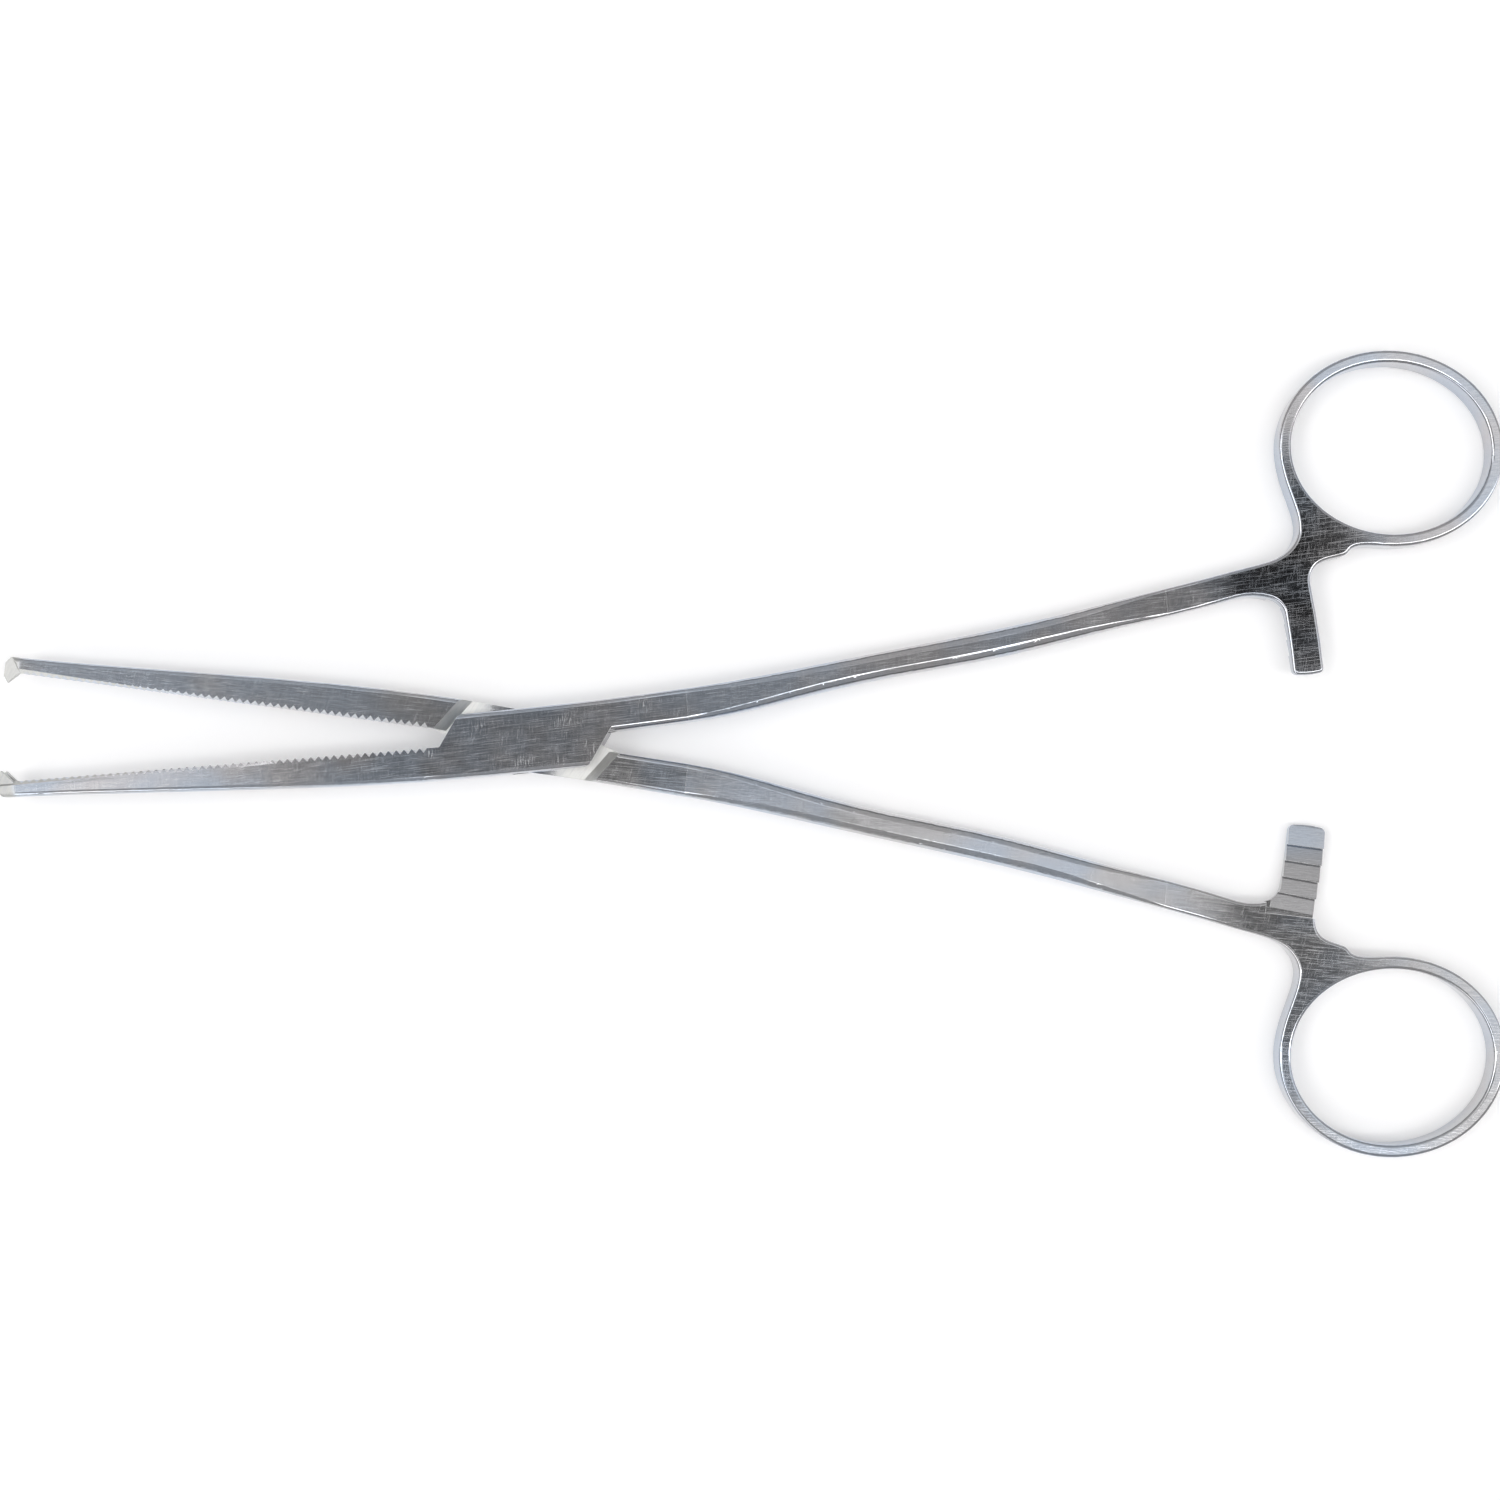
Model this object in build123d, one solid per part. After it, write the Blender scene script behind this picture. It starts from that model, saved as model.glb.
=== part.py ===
from build123d import *
from math import acos, atan2, cos, degrees, hypot, radians, sin, tan
import os

# Kocher artery forceps with a box lock, lying flat and a little open. All sizes are in millimetres.
# +X runs from the jaw tips to the finger rings, midway between the two handles. +Y is the side of the
# handle that carries the box. +Z is up. The origin is on the pivot axis at the underside of the box.
# Each half is drawn in its own flat frame with its handle on +Y and its jaw on -Y. The second half is
# then mirrored, and both are turned about the pivot by half the opening.

# Opening of the two halves, in degrees
opening = 12.1
full_opening = 50.0
jaw_lean = 0.93

# Box lock
box_thickness = 5.6
box_half_width = 4.2
box_front = 10.9
box_back = 11.4
end_angle = 55.0
end_slope = 1.2
past_face_share = 0.25
front_gap = 0.85
back_gap = 1.6
tongue_thickness = 2.2
tongue_radius = 4.0
tongue_play = 0.05
swing_clearance = 0.12

# Pivot pin
pin_radius = 1.4
pin_head_radius = 1.9
pin_head_height = 0.6
pin_running_clearance = 0.06
pin_seat_clearance = 0.02

# Jaws, measured from the clamping line
jaw_length = 69.2
jaw_tip_width = 2.05
jaw_middle_width = 3.4
jaw_root_width = 4.35
jaw_root = 12.0
jaw_tip_thickness = 3.0
jaw_taper_start = 13.0
jaw_taper_bend = 1.2
tip_bevel_share = 0.33
tip_blunt_share = 0.6
long_edge_rounding = 0.6
bite_gap = 0.05

# Cross serrations of the jaws
serration_pitch = 1.02
serration_land = 0.14
serration_root_depth = 0.55
serration_tip_depth = 0.36
serration_start = 12.4
serration_stop = 2.6

# Bevel along the inner edges of each jaw, which widens towards the tip
jaw_bevel_length = 22.0
jaw_bevel_width = 0.65
jaw_bevel_depth = 0.45

# Hooked teeth at the jaw tips: one in the middle of the second half, two beside it on the box half.
# The single tooth is ground thin from both faces, with a shoulder that slants across the jaw.
tooth_height = 1.4
tooth_length = 2.0
tooth_thickness = 0.9
tooth_edge = 0.4
tooth_shoulder = 0.4
tooth_slant = 0.67
tooth_back_lean = 0.3
tooth_root = 0.4
tooth_blunt_share = 0.33
tooth_set_back = 0.1
tooth_side_clearance = 0.15
tooth_tip_clearance = 0.2
tip_cut_slant = 0.9

# Shanks. Each station gives its share of the way from the neck to the plate, then the middle line,
# width, thickness and rounding there.
neck_end = 22.0
neck_inner_end = 0.5
neck_inner_slope = 0.036
neck_outer_slope = 0.045
neck_width = 4.3
neck_straight = 5.0
shank_width = 3.65
shank_rounding = 1.15
shank_stations = (
    (0.14, 3.4, 4.15, 5.1, 0.95),
    (0.31, 4.8, shank_width, 4.45, shank_rounding),
    (0.53, 6.2, shank_width, 3.95, shank_rounding),
    (0.78, 8.1, shank_width, 3.65, shank_rounding),
)
seam_overlap = 2.0
seam_ledge = 0.02

# Ratchet arms, which are arcs about the pivot; the bulge of their ends is in degrees
arm_inner_radius = 101.6
box_arm_width = 4.1
tongue_arm_width = 4.8
arm_overreach = 0.85
arm_end_rounding = 0.7
arm_end_bulge = 0.12
arm_root_inner = 7.0
arm_root_outer = 10.6
arm_step = 11.0
arm_gap = 0.12
ratchet_pitch = 2.14
ratchet_depth = 0.55
ratchet_first = 1.7
ratchet_count = 4

# Plate between shank and ring, which starts before the arm
plate_thickness = 3.5
plate_lead = 15.6
plate_inner_start = 8.35
plate_slope = 0.15
plate_rounding = 0.42

# Finger ring. Its outer edge starts past the arm's inner radius, and its lowest point is off the middle line.
ring_hole_length = 26.4
ring_hole_width = 22.8
ring_width = 1.65
ring_tilt = -10.0
ring_start = 1.2
ring_low = 14.67
ring_edge_start = -90
ring_edge_end = 190

# Curves of the plate, as distances past the arm and off the middle line: the crook before the arm,
# the throat under the ring, and the heel over to the ring
crook_point = (-3.0, 9.75)
box_throat_step = 0.9
tongue_throat_step = 0.8
throat_height = 13.4
throat_point = (8.4, 14.15)
heel_points = ((2.5, 21.0), (2.65, 17.8), (0.9, 15.35), (-4.1, 13.85))

# How far cuts run past a face, and how near an edge has to be to count as on a line or level
run_past = 1.0
touching = 0.01
level_within = 0.5

plate_start = arm_inner_radius - plate_lead
ring_x = arm_inner_radius + ring_start + ring_width + ring_hole_length / 2
ring_y = ring_low + ring_width + ring_hole_width / 2
middle = box_thickness / 2
half_pitch = serration_pitch / 2
serration_end = jaw_length - serration_stop
wide = 2 * jaw_length


def turned(x, y, angle):
    a = radians(angle)
    return (x * cos(a) - y * sin(a), x * sin(a) + y * cos(a))


def prism(points, low, high):
    face = make_face(Polyline(*points, close=True))
    return Pos(0, 0, low) * extrude(face, high - low)


def beside_middle(inner, outer):
    # Height bands above and below the middle plane, from one distance to another
    return ((middle + inner, middle + outer), (middle - outer, middle - inner))


def end_line(x, angle, y):
    # The point at height y on a box end or shoulder line that crosses the middle line at x
    return (x + y / tan(radians(angle)), y)


def tangent_angle(point, radius, side):
    # Where a line from the point touches a circle about the pivot, as an angle
    away = hypot(*point)
    return degrees(atan2(point[1], point[0])) + side * degrees(acos(radius / away))


# Jaw, box and neck, which are one block cut to a side profile

def side_profile():
    half_box = box_thickness / 2
    half_tip = jaw_tip_thickness / 2
    taper = jaw_length - jaw_taper_start
    top = Spline(
        (-jaw_taper_start, half_box),
        (-jaw_length, half_tip),
        tangents=[(-1, 0), (-taper, jaw_taper_bend * (half_tip - half_box))],
    )
    bottom = mirror(top, about=Plane.XZ)
    upper = Line((-jaw_taper_start, half_box), (neck_end, half_box))
    lower = Line((-jaw_taper_start, -half_box), (neck_end, -half_box))
    back = Line((neck_end, half_box), (neck_end, -half_box))
    front = Line((-jaw_length, half_tip), (-jaw_length, -half_tip))
    standing = Rot(90, 0, 0) * make_face([top, upper, back, lower, bottom, front])
    return Pos(0, 0, middle) * extrude(standing, wide, both=True)


def block(edges, long_edges):
    solid = extrude(make_face(edges), box_thickness) & side_profile()
    rounded = []
    for edge in solid.edges():
        point = edge @ 0.5
        on_floor = Vertex(point.X, point.Y, 0)
        level = abs((edge % 0.5).Z) < level_within
        if level and min(line.distance_to(on_floor) for line in long_edges) < touching:
            rounded.append(edge)
    return fillet(rounded, long_edge_rounding)


def neck_inner(x):
    return neck_inner_end - neck_inner_slope * (neck_end - x)


def neck_outer(x):
    return neck_inner_end + neck_width - neck_outer_slope * (neck_end - x)


def jaw_points(lean):
    # Outer side of the jaw at its tip, middle and root
    tip = turned(-jaw_length + jaw_tip_width * tip_bevel_share, -jaw_tip_width, lean)
    centre = turned(-(jaw_length + jaw_root) / 2, -jaw_middle_width, lean)
    root = turned(-jaw_root, -jaw_root_width, lean)
    return [tip, centre, root]


def shared_edges(lean, inner_start, upper_points):
    # The edges that both halves have: the jaw tip, the end of the neck and the sides of the neck
    tip_inner = turned(-jaw_length, -bite_gap, lean)
    tip_outer = turned(-jaw_length, -jaw_tip_width * tip_blunt_share, lean)
    neck_low = (neck_end, neck_inner(neck_end))
    neck_high = (neck_end, neck_outer(neck_end))
    straight_end = (neck_end - neck_straight, neck_outer(neck_end - neck_straight))
    inner = Line(inner_start, neck_low)
    outer = Line(neck_high, straight_end)
    along = (straight_end[0] - neck_high[0], straight_end[1] - neck_high[1])
    upper = Spline(straight_end, *upper_points, tangents=[along, (-1, 0)])
    plain = [Line(tip_inner, tip_outer), Line(tip_outer, jaw_points(lean)[0]), Line(neck_low, neck_high)]
    return tip_inner, plain, [inner, outer, upper]


def box_block(lean):
    # The box covers the crossing, so its outline steps out to full width between its two ends
    side = box_half_width
    lower_end = end_line(box_back, end_angle, -side)
    corner_back = end_line(box_back, end_angle, neck_inner(box_back))
    upper_end = end_line(-box_front, end_angle, side)
    corner_front = turned(-box_front, -bite_gap, lean)
    outer = Spline(*jaw_points(lean), (0, -side), lower_end)
    tip_inner, plain, sides = shared_edges(lean, corner_back, [(0, side), upper_end])
    ends = [Line(lower_end, corner_back), Line(upper_end, corner_front), Line(corner_front, tip_inner)]
    return block([outer] + ends + plain + sides, [outer] + sides)


def tongue_points(lean):
    # Where the inner edges of the tongue leave the jaw and the shank
    jaw_side = turned(-box_front - front_gap, -bite_gap, lean)
    shank_side = (box_back + back_gap, neck_inner(box_back + back_gap))
    return jaw_side, shank_side


def tongue_block(lean):
    # The crossing is a round waist, with straight edges running from it to the jaw and the shank
    jaw_side, shank_side = tongue_points(lean)
    touch_jaw = tangent_angle(jaw_side, tongue_radius, -1) % 360
    touch_shank = tangent_angle(shank_side, tongue_radius, -1)
    waist_low = (0, -tongue_radius)
    waist_high = (0, tongue_radius)
    low_touch = turned(tongue_radius, 0, touch_shank)
    high_touch = turned(tongue_radius, 0, touch_jaw)
    low_arc = ThreePointArc(waist_low, turned(tongue_radius, 0, (touch_shank - 90) / 2), low_touch)
    high_arc = ThreePointArc(waist_high, turned(tongue_radius, 0, (touch_jaw + 90) / 2), high_touch)
    outer = Spline(*jaw_points(lean), waist_low)
    tip_inner, plain, sides = shared_edges(lean, shank_side, [waist_high])
    ends = [Line(low_touch, shank_side), Line(high_touch, jaw_side), Line(jaw_side, tip_inner)]
    return block([outer, low_arc, high_arc] + ends + plain + sides, [outer] + sides)


# Box lock cuts

def beyond_clamping_line(lean, low, high):
    # The quarter between the clamping line and the handle, which belongs to the other jaw
    corners = [(-wide, 0), (0, 0), (0, wide), (-wide, wide)]
    return prism([turned(x, y, lean) for x, y in corners], low, high)


def beyond_neck(low, high):
    # The quarter past the inner edge of the neck, which belongs to the other shank
    start = (0, neck_inner(0))
    end = (wide, neck_inner(wide))
    return prism([start, end, (wide, -wide), (0, -wide)], low, high)


def undercut(x, towards):
    # Sloping wall under one end of the box, from the face down to the slot
    half_slot = tongue_thickness / 2 + tongue_play
    top = middle + (middle - half_slot) * past_face_share
    section = [(-towards * run_past * 2, top)]
    for height in (top, half_slot, -half_slot, -top):
        share = (middle - abs(height)) / (middle - half_slot)
        section.append((towards * end_slope * share, height))
    section.append((-towards * run_past * 2, -top))
    plane = Plane(
        origin=(x, 0, middle),
        x_dir=(sin(radians(end_angle)), -cos(radians(end_angle)), 0),
        z_dir=(-cos(radians(end_angle)), -sin(radians(end_angle)), 0),
    )
    face = make_face(Polyline(*section, close=True))
    return extrude(plane * face, wide, both=True)


def slot(lean):
    # Room for the tongue through the whole swing: a round middle and a fan on each open side
    radius = tongue_radius + swing_clearance
    jaw_side, shank_side = tongue_points(lean)
    entry = (jaw_side[0], -jaw_side[1] - swing_clearance)
    exit_point = (shank_side[0], -shank_side[1] + swing_clearance)
    half = tongue_thickness / 2 + tongue_play
    room = Pos(0, 0, middle) * Cylinder(radius, 2 * half)
    for point, side in ((entry, 90), (exit_point, -90)):
        near = turned(radius, 0, tangent_angle(point, radius, 1))
        reach = wide / hypot(point[0] - near[0], point[1] - near[1])
        far = (near[0] + (point[0] - near[0]) * reach, near[1] + (point[1] - near[1]) * reach)
        opened = turned(radius, 0, side - full_opening)
        heading = turned(wide, 0, side + 90 - full_opening)
        away = (opened[0] + heading[0], opened[1] + heading[1])
        room += prism([(0, 0), near, far, away, opened], middle - half, middle + half)
    return room


def cheek_room(lean):
    # What is milled off both faces of the tongue, with a sloping shoulder at each end
    half = tongue_thickness / 2
    over = (middle - half) * past_face_share
    across = sin(radians(end_angle))
    front = -(box_front + front_gap) * across
    back = (box_back + back_gap) * across
    slope = end_slope / (middle - half)
    section = [
        (front + end_slope, half),
        (front - slope * over, middle + over),
        (back + slope * over, middle + over),
        (back - end_slope, half),
    ]
    plane = Plane(
        origin=(0, 0, middle),
        x_dir=(across, cos(radians(end_angle)), 0),
        z_dir=(cos(radians(end_angle)), -across, 0),
    )
    face = make_face(Polyline(*section, close=True))
    room = extrude(plane * face, wide, both=True)
    room += beyond_clamping_line(lean, middle + half, 2 * box_thickness)
    room += beyond_neck(middle + half, 2 * box_thickness)
    return room + mirror(room, about=Plane.XY.offset(middle))


def pin_shape(clearance):
    # Shaft with a countersunk head at each face, and the same shape grown by a clearance for its seat
    half = middle
    shaft = pin_radius + clearance
    head = pin_head_radius + clearance
    profile = Polyline(
        (0, -half),
        (head, -half),
        (shaft, pin_head_height - half),
        (shaft, half - pin_head_height),
        (head, half),
        (0, half),
        close=True,
    )
    standing = Rot(90, 0, 0) * make_face(profile)
    return Pos(0, 0, middle) * revolve(standing, Axis.Z)


# Jaw details, drawn on the clamping line with the jaw on -Y

def serrations():
    # One comb of V grooves, deeper towards the box
    points = [(-serration_start, wide), (-serration_start, -bite_gap)]
    count = int((serration_end - serration_start) / serration_pitch)
    for i in range(count):
        near = serration_start + i * serration_pitch
        share = (near - serration_start) / (serration_end - serration_start)
        depth = serration_root_depth + share * (serration_tip_depth - serration_root_depth)
        points.append((-near - half_pitch + serration_land / 2, -bite_gap - depth))
        points.append((-near - serration_pitch + serration_land, -bite_gap))
        points.append((-near - serration_pitch, -bite_gap))
    points.append((points[-1][0], wide))
    return prism(points, -wide, wide)


def tooth_plan():
    back = -jaw_length + tooth_length
    return [
        (back + tooth_back_lean, -tooth_root),
        (-jaw_length + tooth_length * tooth_blunt_share, tooth_height),
        (-jaw_length, tooth_height * tooth_blunt_share),
        (-jaw_length, -tooth_root),
    ]


def tip_room(depth):
    # The gap between the two side teeth, cut back to a slanting line
    back = -jaw_length + tooth_length + tooth_tip_clearance
    return [
        (-jaw_length - run_past, wide),
        (-jaw_length - run_past, -depth),
        (back - tip_cut_slant, -depth),
        (back, 0),
        (back, wide),
    ]


def tooth_grind():
    # What is ground off both faces of the single tooth: a sloping shoulder, then a slope to the point
    across = hypot(tooth_slant, 1)
    plane = Plane(
        origin=(-jaw_length + tooth_length + tooth_tip_clearance, 0, middle),
        x_dir=(-1 / across, tooth_slant / across, 0),
        z_dir=(tooth_slant / across, 1 / across, 0),
    )
    top = jaw_tip_thickness - tooth_thickness / 2
    section = [
        (-2 * tooth_shoulder, top),
        (0, tooth_thickness / 2),
        (tooth_length, tooth_edge / 2),
        (2 * tooth_length, tooth_edge / 2),
        (2 * tooth_length, top),
    ]
    face = make_face(Polyline(*section, close=True))
    cut = extrude(plane * face, 2 * (jaw_tip_width + tooth_height), both=True)
    return cut + mirror(cut, about=Plane.XY.offset(middle))


def jaw_bevel():
    # What is cut off the inner edges of both faces of a jaw, deepest at the tip
    half_tip = jaw_tip_thickness / 2
    rise = (box_thickness - jaw_tip_thickness) / 2 / (jaw_length - jaw_taper_start)
    tip = Vector(-jaw_length, 0, middle + half_tip - jaw_bevel_depth)
    end = Vector(-jaw_length + jaw_bevel_length, 0, middle + half_tip + rise * jaw_bevel_length)
    side = Vector(-jaw_length, -jaw_bevel_width, middle + half_tip)
    plane = Plane(origin=tip, x_dir=end - tip, z_dir=(side - tip).cross(end - tip))
    cut = plane * (Pos(0, 0, jaw_length / 2) * Box(jaw_length, jaw_length, jaw_length))
    return cut + mirror(cut, about=Plane.XY.offset(middle))


# Shank, lofted through rounded sections

def shank():
    sections = []
    for x in (neck_end - seam_overlap, neck_end):
        width = neck_outer(x) - neck_inner(x)
        centre = (neck_outer(x) + neck_inner(x)) / 2
        sections.append((x, centre, width - seam_ledge, box_thickness - seam_ledge, long_edge_rounding))
    for share, centre, width, height, rounding in shank_stations:
        sections.append((neck_end + share * (plate_start - neck_end), centre, width, height, rounding))
    for x in (plate_start, plate_start + seam_overlap):
        centre = plate_inner_start + plate_slope * (x - plate_start) + shank_width / 2
        sections.append((x, centre, shank_width - seam_ledge, plate_thickness - seam_ledge, plate_rounding))
    faces = []
    for x, y, width, height, rounding in sections:
        across = Plane(origin=(x, y, middle), x_dir=(0, 1, 0), z_dir=(1, 0, 0))
        faces.append(across * RectangleRounded(width, height, rounding))
    return loft(faces)


# Ring, plate and ratchet arm

def past_arm(point):
    return (arm_inner_radius + point[0], point[1])


def ring_plate(arm_width, throat_step):
    outer_radius = arm_inner_radius + arm_width
    stub_end = plate_start + 2 * seam_overlap
    inner_start = (plate_start, plate_inner_start)
    inner_end = (stub_end, plate_inner_start + plate_slope * (stub_end - plate_start))
    outer_start = (plate_start, plate_inner_start + shank_width)
    outer_end = (stub_end, inner_end[1] + shank_width)
    slope = (1, plate_slope)
    ring = EllipticalCenterArc(
        (ring_x, ring_y),
        ring_hole_length / 2 + ring_width,
        ring_hole_width / 2 + ring_width,
        ring_edge_start,
        arc_size=ring_edge_end - ring_edge_start,
        rotation=ring_tilt,
    )
    arm_end = degrees(-arm_overreach / arm_inner_radius)
    inner_top = degrees(arm_root_inner / arm_inner_radius)
    outer_top = degrees(arm_root_outer / outer_radius)
    end_inner = turned(arm_inner_radius, 0, arm_end)
    end_outer = turned(outer_radius, 0, arm_end)
    end_middle = turned(arm_inner_radius + arm_width / 2, 0, arm_end - arm_end_bulge)
    left_top = turned(arm_inner_radius, 0, inner_top)
    right_top = turned(outer_radius, 0, outer_top)
    left = ThreePointArc(left_top, turned(arm_inner_radius, 0, (inner_top + arm_end) / 2), end_inner)
    end = ThreePointArc(end_inner, end_middle, end_outer)
    right = ThreePointArc(end_outer, turned(outer_radius, 0, (outer_top + arm_end) / 2), right_top)
    crook = Spline(inner_end, past_arm(crook_point), left_top, tangents=[slope, left % 0])
    throat_start = (outer_radius + throat_step, throat_height)
    throat_ends = [right % 1, ring % 0]
    throat = Spline(right_top, throat_start, past_arm(throat_point), ring @ 0, tangents=throat_ends)
    heel_way = [past_arm(point) for point in heel_points]
    heel = Spline(ring @ 1, *heel_way, outer_end, tangents=[ring % 1, (-1, -plate_slope)])
    edges = [
        Line(inner_start, inner_end),
        crook,
        left,
        end,
        right,
        throat,
        ring,
        heel,
        Line(outer_end, outer_start),
        Line(outer_start, inner_start),
    ]
    outline = make_face(edges)
    corners = outline.vertices().filter_by(lambda v: v.Y < plate_inner_start / 2)
    outline = fillet(corners, arm_end_rounding)
    hole = Pos(ring_x, ring_y) * Rot(0, 0, ring_tilt) * Ellipse(ring_hole_length / 2, ring_hole_width / 2)
    plate = Pos(0, 0, middle - plate_thickness / 2) * extrude(outline - hole, plate_thickness)
    level = plate.edges().filter_by(lambda e: abs((e % 0.5).Z) < level_within)
    rounded = level.filter_by(lambda e: (e @ 0.5).X > plate_start + touching)
    return fillet(rounded, plate_rounding)


def ratchet_room(arm_width):
    # What is cut off an arm that keeps its lower half: the upper half and the sawtooth notches
    surface = middle - arm_gap / 2
    inner = arm_inner_radius - arm_width / 2
    outer = arm_inner_radius + 2 * arm_width
    corners = [(inner, -arm_step), (outer, -arm_step), (outer, arm_step), (inner, arm_step)]
    room = prism(corners, surface, box_thickness)
    ramp = ratchet_first + arm_overreach
    for i in range(ratchet_count):
        notch = [(0, arm_gap), (0, -ratchet_depth), (ratchet_pitch, 0), (ratchet_pitch, arm_gap)]
        room += ratchet_cut(notch, ratchet_first + i * ratchet_pitch, surface, arm_width)
    lead_end = -2 * ramp
    lead = [(0, arm_gap), (0, 0), (-ramp, -ratchet_depth), (lead_end, -ratchet_depth), (lead_end, arm_gap)]
    return room + ratchet_cut(lead, ratchet_first, surface, arm_width)


def ratchet_cut(section, along, surface, arm_width):
    # A section drawn along the arm and up, swept across the arm at a distance from the middle line
    plane = Plane(origin=(arm_inner_radius - run_past, 0, surface), x_dir=(0, 1, 0), z_dir=(1, 0, 0))
    cut = extrude(plane * make_face(Polyline(*section, close=True)), arm_width + 2 * run_past)
    return Rot(0, 0, degrees(along / arm_inner_radius)) * cut


# The two halves

def jaw_cut(solid, lean, single_tooth):
    half_tooth = tooth_thickness / 2
    half_tip = jaw_tip_thickness / 2
    turn = Rot(0, 0, lean)
    solid -= turn * jaw_bevel()
    solid -= turn * serrations()
    if single_tooth:
        solid += turn * prism(tooth_plan(), middle - half_tooth, middle + half_tooth)
        return solid - turn * tooth_grind()
    side = half_tooth + tooth_side_clearance
    solid -= turn * prism(tip_room(tooth_height + tooth_tip_clearance), middle - side, middle + side)
    for low, high in beside_middle(side, half_tip - tooth_set_back):
        solid += turn * prism(tooth_plan(), low, high)
    return solid


def box_half():
    lean = -jaw_lean
    solid = box_block(lean)
    solid -= undercut(-box_front, 1) & beyond_clamping_line(lean, -run_past, wide)
    solid -= undercut(box_back, -1) & beyond_neck(-run_past, wide)
    solid -= slot(jaw_lean)
    solid -= pin_shape(pin_seat_clearance)
    solid = jaw_cut(solid, lean, False)
    solid += shank()
    solid += ring_plate(box_arm_width, box_throat_step)
    return solid - mirror(ratchet_room(box_arm_width), about=Plane.XY.offset(middle))


def tongue_half():
    lean = jaw_lean
    solid = tongue_block(lean)
    solid -= cheek_room(lean)
    solid -= Pos(0, 0, middle) * Cylinder(pin_radius + pin_running_clearance, 2 * box_thickness)
    solid = jaw_cut(solid, lean, True)
    solid += shank()
    solid += ring_plate(tongue_arm_width, tongue_throat_step)
    return mirror(solid - ratchet_room(tongue_arm_width), about=Plane.XZ)


parts = {
    "box_half": Rot(0, 0, opening / 2) * box_half(),
    "tongue_half": Rot(0, 0, -opening / 2) * tongue_half(),
    "pivot_pin": pin_shape(0),
}

os.makedirs("parts", exist_ok=True)
for name, shape in parts.items():
    export_step(shape, f"parts/{name}.step")
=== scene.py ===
import bpy
from math import atan, cos, radians, sin, tan
from mathutils import Matrix, Vector

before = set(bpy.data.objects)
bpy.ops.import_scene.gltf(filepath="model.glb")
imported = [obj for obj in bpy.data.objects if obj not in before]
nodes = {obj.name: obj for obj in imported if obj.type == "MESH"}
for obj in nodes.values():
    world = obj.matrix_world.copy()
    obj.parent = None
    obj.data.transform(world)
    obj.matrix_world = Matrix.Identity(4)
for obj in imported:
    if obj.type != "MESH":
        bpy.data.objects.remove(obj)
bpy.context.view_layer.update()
scene = bpy.context.scene


# Node trees

def add(tree, kind, inputs=None, **settings):
    made = tree.nodes.new(kind)
    for key, value in settings.items():
        setattr(made, key, value)
    for key, value in (inputs or {}).items():
        join(tree, value, made.inputs[key])
    return made


def join(tree, value, socket):
    if isinstance(value, bpy.types.NodeSocket):
        tree.links.new(value, socket)
    elif isinstance(value, bpy.types.Node):
        tree.links.new(value.outputs[0], socket)
    else:
        socket.default_value = value


def maths(tree, operation, first, second=0.0):
    return add(tree, "ShaderNodeMath", {0: first, 1: second}, operation=operation).outputs[0]


def chain(tree, operation, first, *others):
    # One operation over several values, from left to right
    result = first
    for value in others:
        result = maths(tree, operation, result, value)
    return result


def product(tree, *values):
    return chain(tree, "MULTIPLY", *values)


def total(tree, *values):
    return chain(tree, "ADD", *values)


def most(tree, *values):
    return chain(tree, "MAXIMUM", *values)


def size_of(tree, value):
    return maths(tree, "ABSOLUTE", value)


def distance(tree, x, y):
    both = add(tree, "ShaderNodeCombineXYZ", {"X": x, "Y": y})
    return add(tree, "ShaderNodeVectorMath", {0: both}, operation="LENGTH").outputs["Value"]


def scaled(tree, colour, factor):
    return add(tree, "ShaderNodeVectorMath", {0: colour, "Scale": factor}, operation="SCALE").outputs[0]


def ramp(tree, value, low, high, start=0.0, end=1.0):
    # Goes softly from start to end while the value goes from low to high
    inputs = {"Value": value, "From Min": low, "From Max": high, "To Min": start, "To Max": end}
    made = add(tree, "ShaderNodeMapRange", inputs, interpolation_type="SMOOTHSTEP")
    return made.outputs["Result"]


def blend_colours(tree, factor, first, second):
    # The colour sockets of the mix node are its seventh and eighth
    made = add(tree, "ShaderNodeMix", {"Factor": factor}, data_type="RGBA")
    join(tree, first, made.inputs[6])
    join(tree, second, made.inputs[7])
    return made.outputs[2]


def blend_values(tree, factor, first, second):
    made = add(tree, "ShaderNodeMix", {"Factor": factor}, data_type="FLOAT")
    join(tree, first, made.inputs[2])
    join(tree, second, made.inputs[3])
    return made.outputs[0]


# Patterns

# Places are in millimetres: along the handle from the pivot, with the jaws at the negative end, across it,
# and up. The handles are turned by half of the opening, which is in degrees.
HALF_OPENING = 6.05
MILLIMETRES_PER_METRE = 1000
SEED_STEPS = (7.3, 3.1, 1.7)
SCRATCH_SOFTNESS = 0.05


def handle_position(tree, turn):
    place = add(tree, "ShaderNodeTexCoord").outputs["Object"]
    inputs = {"Vector": place, "Rotation": (0, 0, radians(turn))}
    inputs["Scale"] = (MILLIMETRES_PER_METRE, MILLIMETRES_PER_METRE, MILLIMETRES_PER_METRE)
    return add(tree, "ShaderNodeMapping", inputs, vector_type="POINT").outputs[0]


def seed_offset(seed):
    return tuple(seed * step for step in SEED_STEPS)


def noise(tree, place, size, seed, detail=2.0):
    moved = add(tree, "ShaderNodeMapping", {"Vector": place, "Location": seed_offset(seed)})
    return add(tree, "ShaderNodeTexNoise", {"Vector": moved, "Scale": 1 / size, "Detail": detail}).outputs[0]


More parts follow.
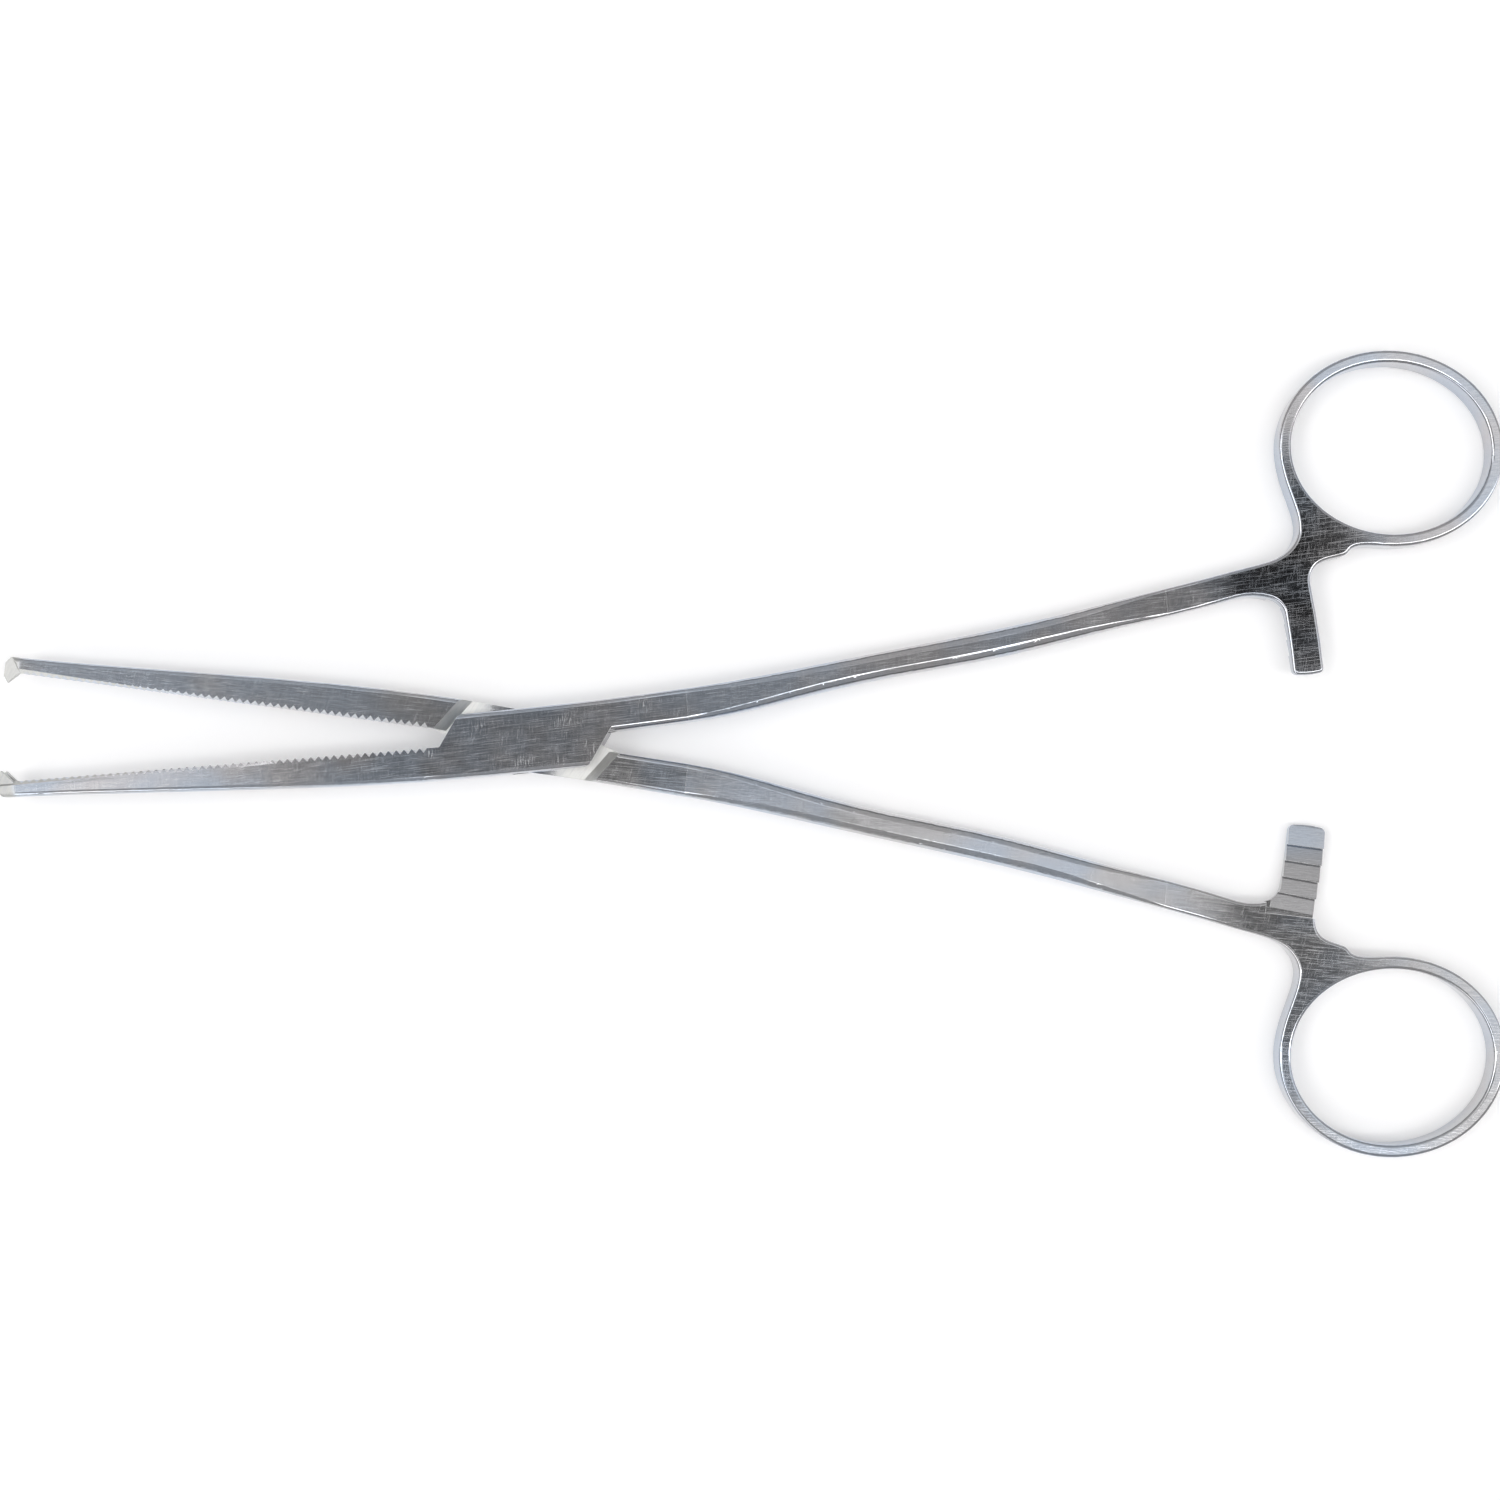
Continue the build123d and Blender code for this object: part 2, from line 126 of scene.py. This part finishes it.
def strokes(tree, place, stroke, seed, detail=1.0):
    # Long soft streaks. A stroke has an angle to the handle in degrees, a length and a width.
    angle, length, width = stroke
    inputs = {"Vector": place, "Angle": radians(-angle)}
    turned = add(tree, "ShaderNodeVectorRotate", inputs, rotation_type="Z_AXIS")
    inputs = {"Vector": turned, "Location": seed_offset(seed)}
    inputs["Scale"] = (1 / length, 1 / width, 1 / width)
    stretched = add(tree, "ShaderNodeMapping", inputs)
    return add(tree, "ShaderNodeTexNoise", {"Vector": stretched, "Scale": 1.0, "Detail": detail}).outputs[0]


def scratches(tree, place, stroke, seed, rarity, soft=SCRATCH_SOFTNESS):
    # Thin separate lines, where the streak noise is at its highest
    return ramp(tree, strokes(tree, place, stroke, seed, 0.0), rarity, rarity + soft)


# Steel

# A zone gives where a finish, a painted highlight or a painted shade starts and where it is full, in
# millimetres along the handle or from the pivot
PLATE_ZONE = (90.0, 98.0)
BEVEL_ZONE = (-44.0, -52.0)
TEETH_ZONE = (-66.5, -67.5)
PIN_ZONE = (2.2, 2.8)
TONGUE_ZONE = (3.0, 7.0)
LOCK_ZONE = (20.0, 18.0)
NICKS_ZONE = (14.0, 26.0)

# Height of the middle of the lock, and distances from it at which the tongue's faces start and are full
LOCK_MIDDLE = 2.8
TONGUE_HALF = (1.35, 1.25)

# How much a face points up or down, to the other jaw or lengthwise, where its ground finish and its painted
# highlight start and are full
BEVEL_UP = (0.4, 0.5)
BEVEL_INWARD = (0.25, 0.35)
TONGUE_UP = (0.9, 0.95)
SHOULDER_UP = (0.2, 0.3)
SHOULDER_SLANT = (0.985, 0.96)
SHOULDER_LENGTHWISE = (0.2, 0.3)

# Strokes: angle to the handle in degrees, length and width
BRUSHING = (1, 3.0, 0.07)
PLATE_BRUSHING = (4, 1.2, 0.1)
HATCHING = (84, 1.3, 0.09)
FINE_LINES = (2, 4.0, 0.06)
SLANTS = (80, 1.4, 0.05)
NICKS = (86, 1.2, 0.06)
GRINDING = (64, 1.6, 0.16)

# Even value of the hatching on the plate, low enough to leave it unhatched
PLATE_HATCH = 0.4

# Sizes of each noise in millimetres, and its detail
GRAIN_SIZE = 0.16
GRAIN_DETAIL = 3.0
CLOUD_SIZE = 14.0
SMUDGE_SIZE = 2.2
SMUDGE_DETAIL = 4.0
NICK_GROUP_SIZE = 4.0
NICK_GROUP_DETAIL = 1.0

# Noise values above which marks show, and at which their groups start and are full
LINE_RARITY = 0.66
SLANT_RARITY = 0.7
NICK_RARITY = 0.62
NICK_SOFTNESS = 0.1
NICK_GROUPS = (0.54, 0.7)

# How strongly each mark is painted bright: scratches and nicks as real wear, edges partly as real rubbing
# and partly as painted highlight
LINE_WEAR = 0.2
SLANT_WEAR = 0.14
BOX_NICK_WEAR = 0.42
FAR_NICK_WEAR = 0.14
EDGE_RUB_AND_HIGHLIGHT = 0.6
PIN_EDGE_RUB_AND_HIGHLIGHT = 0.2

# Edges are rounded over this width in metres, and painted bright, partly as rubbing and partly as painted
# highlight, where the cosine between the rounded normal and the flat one falls from the first value to the
# second
EDGE_WIDTH = 0.0001
EDGE_TURN = (0.985, 0.9)
EDGE_SAMPLES = 6

# Cold and warm tones of the forgings, the pale colour of wear and of the edges' painted highlight, the pale
# ground colour, partly a painted highlight, and the painted shade on the teeth
BOX_TONES = ((0.51, 0.56, 0.64, 1), (0.58, 0.57, 0.585, 1))
TONGUE_TONES = ((0.53, 0.58, 0.66, 1), (0.59, 0.585, 0.595, 1))
WEAR_AND_HIGHLIGHT_COLOUR = (0.9, 0.9, 0.9, 1)
GROUND_AND_HIGHLIGHT_COLOUR = (0.82, 0.82, 0.8, 1)
TEETH_PAINTED_SHADE = 0.72

# Noise from a low to a high value, and what it gives at each
CLOUD_WARMTH = (0.38, 0.62, 0.0, 1.0)
BRUSHED_SHADE = (0.3, 0.7, 0.92, 1.04)
HATCH_SHADE = (0.35, 0.7, -0.03, 0.05)
GRAIN_SHADE = (0.3, 0.7, -0.03, 0.03)
GRINDING_COVER = (0.25, 0.6, 0.7, 1.0)
BRUSHED_ROUGHNESS = (0.3, 0.75, 0.09, 0.13)
SMUDGE_ROUGHNESS = (0.4, 0.7, 0.0, 0.025)
HATCH_ROUGHNESS = (0.45, 0.75, 0.0, 0.02)

# Roughness of the plate as a share of the rest, and what worn and ground places add to it
PLATE_GLOSS = 0.6
WORN_ROUGHNESS = 0.35
GROUND_ROUGHNESS = 0.4

# Relief: shares of the patterns, its strength, and its depth in metres
BRUSHED_RELIEF = 0.6
GRAIN_RELIEF = 0.25
WORN_RELIEF = 0.8
RELIEF_STRENGTH = 0.5
RELIEF_DEPTH = 0.000004

# Each pattern adds its own number to the seed of the piece
BOX_SEED = 0
TONGUE_SEED = 20


def rubbed_and_highlit_edges(tree):
    # Sharp edges are painted bright: partly real rubbing, partly a painted highlight where the rounded edges
    # catch the light
    rounded = add(tree, "ShaderNodeBevel", {"Radius": EDGE_WIDTH}, samples=EDGE_SAMPLES)
    flat = add(tree, "ShaderNodeNewGeometry").outputs["Normal"]
    same = add(tree, "ShaderNodeVectorMath", {0: rounded, 1: flat}, operation="DOT_PRODUCT")
    return ramp(tree, same.outputs["Value"], *EDGE_TURN)


def ground_and_highlit_jaw(tree, along, facing, jaw_side):
    # The bevel of the jaw near its tip, and the whole of the tip with its teeth, which are ground and
    # painted pale, partly as a painted highlight
    inward = product(tree, facing.outputs[1], jaw_side)
    upright = size_of(tree, facing.outputs[2])
    bevel = product(tree, ramp(tree, upright, *BEVEL_UP), ramp(tree, inward, *BEVEL_INWARD))
    bevel = product(tree, bevel, ramp(tree, along, *BEVEL_ZONE))
    return most(tree, bevel, ramp(tree, along, *TEETH_ZONE))


def ground_and_highlit_lock(tree, along, height, facing):
    # The faces of the tongue and the slanted shoulders beside it, which are ground and painted pale, partly
    # as a painted highlight
    upright = size_of(tree, facing.outputs[2])
    off_middle = size_of(tree, maths(tree, "SUBTRACT", height, LOCK_MIDDLE))
    from_pivot = size_of(tree, along)
    tongue = product(tree, ramp(tree, off_middle, *TONGUE_HALF), ramp(tree, upright, *TONGUE_UP))
    tongue = product(tree, tongue, ramp(tree, from_pivot, *TONGUE_ZONE))
    lengthwise = size_of(tree, facing.outputs[0])
    shoulder = product(tree, ramp(tree, upright, *SHOULDER_UP), ramp(tree, upright, *SHOULDER_SLANT))
    shoulder = product(tree, shoulder, ramp(tree, lengthwise, *SHOULDER_LENGTHWISE))
    return product(tree, most(tree, tongue, shoulder), ramp(tree, from_pivot, *LOCK_ZONE))


def ground_and_highlit_places(tree, along, height, jaw_side, has_tongue):
    facing = add(tree, "ShaderNodeTexCoord").outputs["Normal"]
    facing = add(tree, "ShaderNodeSeparateXYZ", {"Vector": facing})
    jaw = ground_and_highlit_jaw(tree, along, facing, jaw_side)
    if not has_tongue:
        return jaw
    return most(tree, jaw, ground_and_highlit_lock(tree, along, height, facing))


def wear_and_edge_highlights(tree, place, from_pivot, seed):
    # Use has left fine scratches all over, and small bright nicks in groups, mostly on the box. The edges
    # are painted bright, partly as rubbing and partly as painted highlight.
    lines = scratches(tree, place, FINE_LINES, seed + 7, LINE_RARITY)
    slants = scratches(tree, place, SLANTS, seed + 8, SLANT_RARITY)
    groups = ramp(tree, noise(tree, place, NICK_GROUP_SIZE, seed + 9, NICK_GROUP_DETAIL), *NICK_GROUPS)
    nicks = scratches(tree, place, NICKS, seed + 10, NICK_RARITY, NICK_SOFTNESS)
    nicks = product(tree, nicks, groups)
    nick_wear = ramp(tree, from_pivot, *NICKS_ZONE, BOX_NICK_WEAR, FAR_NICK_WEAR)
    # Edges are painted bright as rubbing and painted highlight, with less of it round the pin
    edge_rub_and_highlight = product(tree, rubbed_and_highlit_edges(tree), ramp(tree, from_pivot, *PIN_ZONE, PIN_EDGE_RUB_AND_HIGHLIGHT, 1.0))
    marks = (
        product(tree, lines, LINE_WEAR),
        product(tree, slants, SLANT_WEAR),
        product(tree, nicks, nick_wear),
        product(tree, edge_rub_and_highlight, EDGE_RUB_AND_HIGHLIGHT),
    )
    return most(tree, *marks)


def steel(name, turn, jaw_side, has_tongue, tones, seed):
    material = bpy.data.materials.new(name)
    material.use_nodes = True
    tree = material.node_tree
    shader = tree.nodes["Principled BSDF"]
    place = handle_position(tree, turn)
    parts = add(tree, "ShaderNodeSeparateXYZ", {"Vector": place})
    along = parts.outputs[0]
    plate = ramp(tree, along, *PLATE_ZONE)
    from_pivot = distance(tree, along, parts.outputs[1])
    ground_and_highlight = ground_and_highlit_places(tree, along, parts.outputs[2], jaw_side, has_tongue)
    wear_and_highlight = wear_and_edge_highlights(tree, place, from_pivot, seed)

    # Brushing runs along the handle, in shorter and broader strokes on the arm, the plate and the ring
    lengthwise = strokes(tree, place, BRUSHING, seed + 1)
    shorter = strokes(tree, place, PLATE_BRUSHING, seed + 3)
    brushed = blend_values(tree, plate, lengthwise, shorter)
    hatch = blend_values(tree, plate, strokes(tree, place, HATCHING, seed + 2), PLATE_HATCH)
    grain = noise(tree, place, GRAIN_SIZE, seed + 4, GRAIN_DETAIL)
    clouds = noise(tree, place, CLOUD_SIZE, seed + 5)
    smudges = noise(tree, place, SMUDGE_SIZE, seed + 6, SMUDGE_DETAIL)

    # Colour
    tone = blend_colours(tree, ramp(tree, clouds, *CLOUD_WARMTH), *tones)
    shade = total(tree, ramp(tree, brushed, *BRUSHED_SHADE), ramp(tree, hatch, *HATCH_SHADE))
    shade = total(tree, shade, ramp(tree, grain, *GRAIN_SHADE))
    # Scratches and nicks are painted pale as real wear, and the edges partly as painted highlight
    tone = blend_colours(tree, wear_and_highlight, scaled(tree, tone, shade), WEAR_AND_HIGHLIGHT_COLOUR)
    # Ground places are painted pale: a ground finish, and partly a painted highlight on the facets that
    # catch the light
    grinding = ramp(tree, strokes(tree, place, GRINDING, seed + 13), *GRINDING_COVER)
    tone = blend_colours(tree, product(tree, ground_and_highlight, grinding), tone, GROUND_AND_HIGHLIGHT_COLOUR)
    # The tip and its teeth are painted darker again: painted shade over their pale ground colour
    teeth_painted_shade = ramp(tree, along, *TEETH_ZONE, 1.0, TEETH_PAINTED_SHADE)
    join(tree, scaled(tree, tone, teeth_painted_shade), shader.inputs["Base Color"])

    # Roughness
    rough = total(tree, ramp(tree, brushed, *BRUSHED_ROUGHNESS), ramp(tree, smudges, *SMUDGE_ROUGHNESS))
    rough = total(tree, rough, ramp(tree, hatch, *HATCH_ROUGHNESS))
    rough = product(tree, rough, blend_values(tree, plate, 1.0, PLATE_GLOSS))
    rough = total(tree, rough, product(tree, wear_and_highlight, WORN_ROUGHNESS), product(tree, ground_and_highlight, GROUND_ROUGHNESS))
    join(tree, rough, shader.inputs["Roughness"])

    # Relief
    height = total(tree, product(tree, brushed, BRUSHED_RELIEF), product(tree, grain, GRAIN_RELIEF))
    height = maths(tree, "SUBTRACT", height, product(tree, wear_and_highlight, WORN_RELIEF))
    inputs = {"Strength": RELIEF_STRENGTH, "Distance": RELIEF_DEPTH, "Height": height}
    join(tree, add(tree, "ShaderNodeBump", inputs), shader.inputs["Normal"])
    shader.inputs["Metallic"].default_value = 1.0
    return material


def dress(node, material):
    nodes[node].data.materials.clear()
    nodes[node].data.materials.append(material)


# The inner side of the jaw is at +Y on the box half and at -Y on the tongue half. The pin is ground flush
# with the box and has its finish.
dress("box_half", steel("box_half_steel", -HALF_OPENING, 1, False, BOX_TONES, BOX_SEED))
dress("tongue_half", steel("tongue_half_steel", HALF_OPENING, -1, True, TONGUE_TONES, TONGUE_SEED))
dress("pivot_pin", steel("pin_steel", -HALF_OPENING, 1, False, BOX_TONES, BOX_SEED))


# Floor

# The box rests on a pale matt sheet and so do the ends of the rings, which are thinner. It adds to its own
# light where the camera looks, so that it shows white. Lengths are in metres.
FLOOR_CONTACT_X = 0.022
RING_END_X = 0.1289
RING_UNDERSIDE = 0.00105
FLOOR_HALF = 4.0
FLOOR_GAP = 0.00002
FLOOR_COLOUR = (0.9, 0.895, 0.9, 1)
FLOOR_ROUGHNESS = 0.6
FLOOR_GLOW = 0.22


def floor_material():
    material = bpy.data.materials.new("pale_floor")
    material.use_nodes = True
    tree = material.node_tree
    shader = tree.nodes["Principled BSDF"]
    shader.inputs["Base Color"].default_value = FLOOR_COLOUR
    shader.inputs["Roughness"].default_value = FLOOR_ROUGHNESS
    shader.inputs["Emission Color"].default_value = (1, 1, 1, 1)
    rays = add(tree, "ShaderNodeLightPath").outputs
    seen = most(tree, rays["Is Camera Ray"], rays["Is Glossy Ray"], rays["Is Transmission Ray"])
    join(tree, product(tree, seen, FLOOR_GLOW), shader.inputs["Emission Strength"])
    return material


def make_floor():
    slope = atan(RING_UNDERSIDE / (RING_END_X - FLOOR_CONTACT_X))
    half = FLOOR_HALF
    mesh = bpy.data.meshes.new("floor")
    corners = [(-half, -half, 0), (half, -half, 0), (half, half, 0), (-half, half, 0)]
    mesh.from_pydata(corners, [], [(0, 1, 2, 3)])
    floor = bpy.data.objects.new("floor", mesh)
    scene.collection.objects.link(floor)
    floor.location = (FLOOR_CONTACT_X, 0, -FLOOR_GAP)
    floor.rotation_euler = (0, -slope, 0)
    mesh.materials.append(floor_material())


make_floor()


# Light

# A bright room with a dim patch overhead, as a white tent with a gap for the camera. A direction is given by
# how far east and north it meets a flat ceiling one unit above. The patch has a low border that leans.
GAP_X = -0.12
GAP_HALF_X = 0.38
GAP_LOW = 0.02
GAP_LEAN = 0.22
GAP_HIGH = 0.16
GAP_SOFT = 0.05
GAP_LIGHT = 0.3
CEILING_LIGHT = 1.0

# Darker and brighter spots: middle, half sizes and light. The first three lie where the upper plate, the
# lower plate and the box mirror the room.
SPOTS = (
    (0.25, 0.13, 0.065, 0.085, 0.04),
    (0.25, -0.05, 0.065, 0.1, 0.16),
    (-0.1, 0.035, 0.14, 0.05, 0.45),
    (-0.38, -0.05, 0.15, 0.14, 4.0),
)
SPOT_CORE = 0.4

# The far and near sides and the horizon are dimmer
FAR_SIDE = (0.36, 0.6)
FAR_LIGHT = 0.5
NEAR_SIDE = (-0.2, -0.4)
NEAR_LIGHT = 0.4
HORIZON = (0.1, 0.4)
HORIZON_LIGHT = 0.35

# Narrow bright panels: one on the near side, to the right, and one on the left. A border gives where the
# panel starts and where it is full.
NEAR_PANEL_FAR = (-0.16, -0.19)
NEAR_PANEL_NEAR = (-0.38, -0.34)
NEAR_PANEL_LEFT = (-0.08, -0.02)
NEAR_PANEL_LIGHT = 3.5
LEFT_PANEL_RIGHT = (-0.52, -0.6)
LEFT_PANEL_LEFT = (-1.3, -1.1)
LEFT_PANEL_FAR = (0.45, 0.3)
LEFT_PANEL_LIGHT = 2.2

# Directions below this height count as this high
LOWEST = 0.01


def dim_patch(tree, east, north):
    off_middle = size_of(tree, maths(tree, "SUBTRACT", east, GAP_X))
    beside = most(tree, maths(tree, "SUBTRACT", off_middle, GAP_HALF_X), 0.0)
    low_border = total(tree, product(tree, east, GAP_LEAN), GAP_LOW)
    below = maths(tree, "SUBTRACT", low_border, north)
    above = maths(tree, "SUBTRACT", north, GAP_HIGH)
    away = distance(tree, beside, most(tree, below, above, 0.0))
    return ramp(tree, away, 0.0, GAP_SOFT, GAP_LIGHT, CEILING_LIGHT)


def spot_light(tree, east, north, spot):
    middle_x, middle_y, half_x, half_y, light = spot
    off_x = maths(tree, "DIVIDE", maths(tree, "SUBTRACT", east, middle_x), half_x)
    off_y = maths(tree, "DIVIDE", maths(tree, "SUBTRACT", north, middle_y), half_y)
    return ramp(tree, distance(tree, off_x, off_y), SPOT_CORE, 1.0, light, 1.0)


def panels(tree, east, north):
    near = product(tree, ramp(tree, north, *NEAR_PANEL_FAR), ramp(tree, north, *NEAR_PANEL_NEAR))
    near = product(tree, near, ramp(tree, east, *NEAR_PANEL_LEFT, 0.0, NEAR_PANEL_LIGHT))
    left = product(tree, ramp(tree, east, *LEFT_PANEL_RIGHT), ramp(tree, east, *LEFT_PANEL_LEFT))
    left = product(tree, left, ramp(tree, north, *LEFT_PANEL_FAR, 0.0, LEFT_PANEL_LIGHT))
    return most(tree, near, left)


def make_world():
    world = bpy.data.worlds.new("studio")
    scene.world = world
    world.use_nodes = True
    tree = world.node_tree
    tree.nodes.clear()
    way = add(tree, "ShaderNodeTexCoord").outputs["Generated"]
    parts = add(tree, "ShaderNodeSeparateXYZ", {"Vector": way}).outputs
    height = most(tree, parts[2], LOWEST)
    east = maths(tree, "DIVIDE", parts[0], height)
    north = maths(tree, "DIVIDE", parts[1], height)
    bright = dim_patch(tree, east, north)
    for spot in SPOTS:
        bright = product(tree, bright, spot_light(tree, east, north, spot))
    bright = product(tree, bright, ramp(tree, north, *FAR_SIDE, 1.0, FAR_LIGHT))
    bright = product(tree, bright, ramp(tree, north, *NEAR_SIDE, 1.0, NEAR_LIGHT))
    bright = total(tree, bright, panels(tree, east, north))
    bright = product(tree, bright, ramp(tree, parts[2], *HORIZON, HORIZON_LIGHT, 1.0))
    # The camera itself sees plain white
    room = add(tree, "ShaderNodeBackground", {"Color": (1, 1, 1, 1), "Strength": bright})
    white = add(tree, "ShaderNodeBackground", {"Color": (1, 1, 1, 1), "Strength": 1.0})
    seen = add(tree, "ShaderNodeLightPath").outputs["Is Camera Ray"]
    both = add(tree, "ShaderNodeMixShader", {0: seen, 1: room.outputs[0], 2: white.outputs[0]})
    add(tree, "ShaderNodeOutputWorld", {"Surface": both.outputs[0]})


make_world()


# Camera

# It is nearly straight above the middle of the picture, leaning a little to the near side. Pixels are the
# photo's, angles are in degrees and lengths in metres.
PIVOT_PIXEL = (521.3, 740.3)
PICTURE = 1500
METRES_PER_PIXEL = 0.0001306
BOX_TOP = 0.0056
CAMERA_HEIGHT = 0.28
CAMERA_ROLL = 0.65
LEAN_NEAR = 2.5
NEAR_CLIP = 0.01
FAR_CLIP = 20


def make_camera():
    roll = radians(CAMERA_ROLL)
    right = Vector((cos(roll), sin(roll), 0))
    up = Vector((-sin(roll), cos(roll), 0))
    off_x = (PICTURE / 2 - PIVOT_PIXEL[0]) * METRES_PER_PIXEL
    off_y = (PIVOT_PIXEL[1] - PICTURE / 2) * METRES_PER_PIXEL
    data = bpy.data.cameras.new("camera")
    data.angle = 2 * atan(PICTURE / 2 * METRES_PER_PIXEL / CAMERA_HEIGHT)
    data.clip_start = NEAR_CLIP
    data.clip_end = FAR_CLIP
    camera = bpy.data.objects.new("camera", data)
    scene.collection.objects.link(camera)
    target = right * off_x + up * off_y + Vector((0, 0, BOX_TOP))
    back = (Vector((0, 0, 1)) - tan(radians(LEAN_NEAR)) * up).normalized()
    across = (right - back * right.dot(back)).normalized()
    turn = Matrix((across, back.cross(across), back)).transposed().to_4x4()
    camera.matrix_world = Matrix.Translation(target + CAMERA_HEIGHT * back) @ turn
    scene.camera = camera


make_camera()
scene.view_settings.view_transform = "Standard"
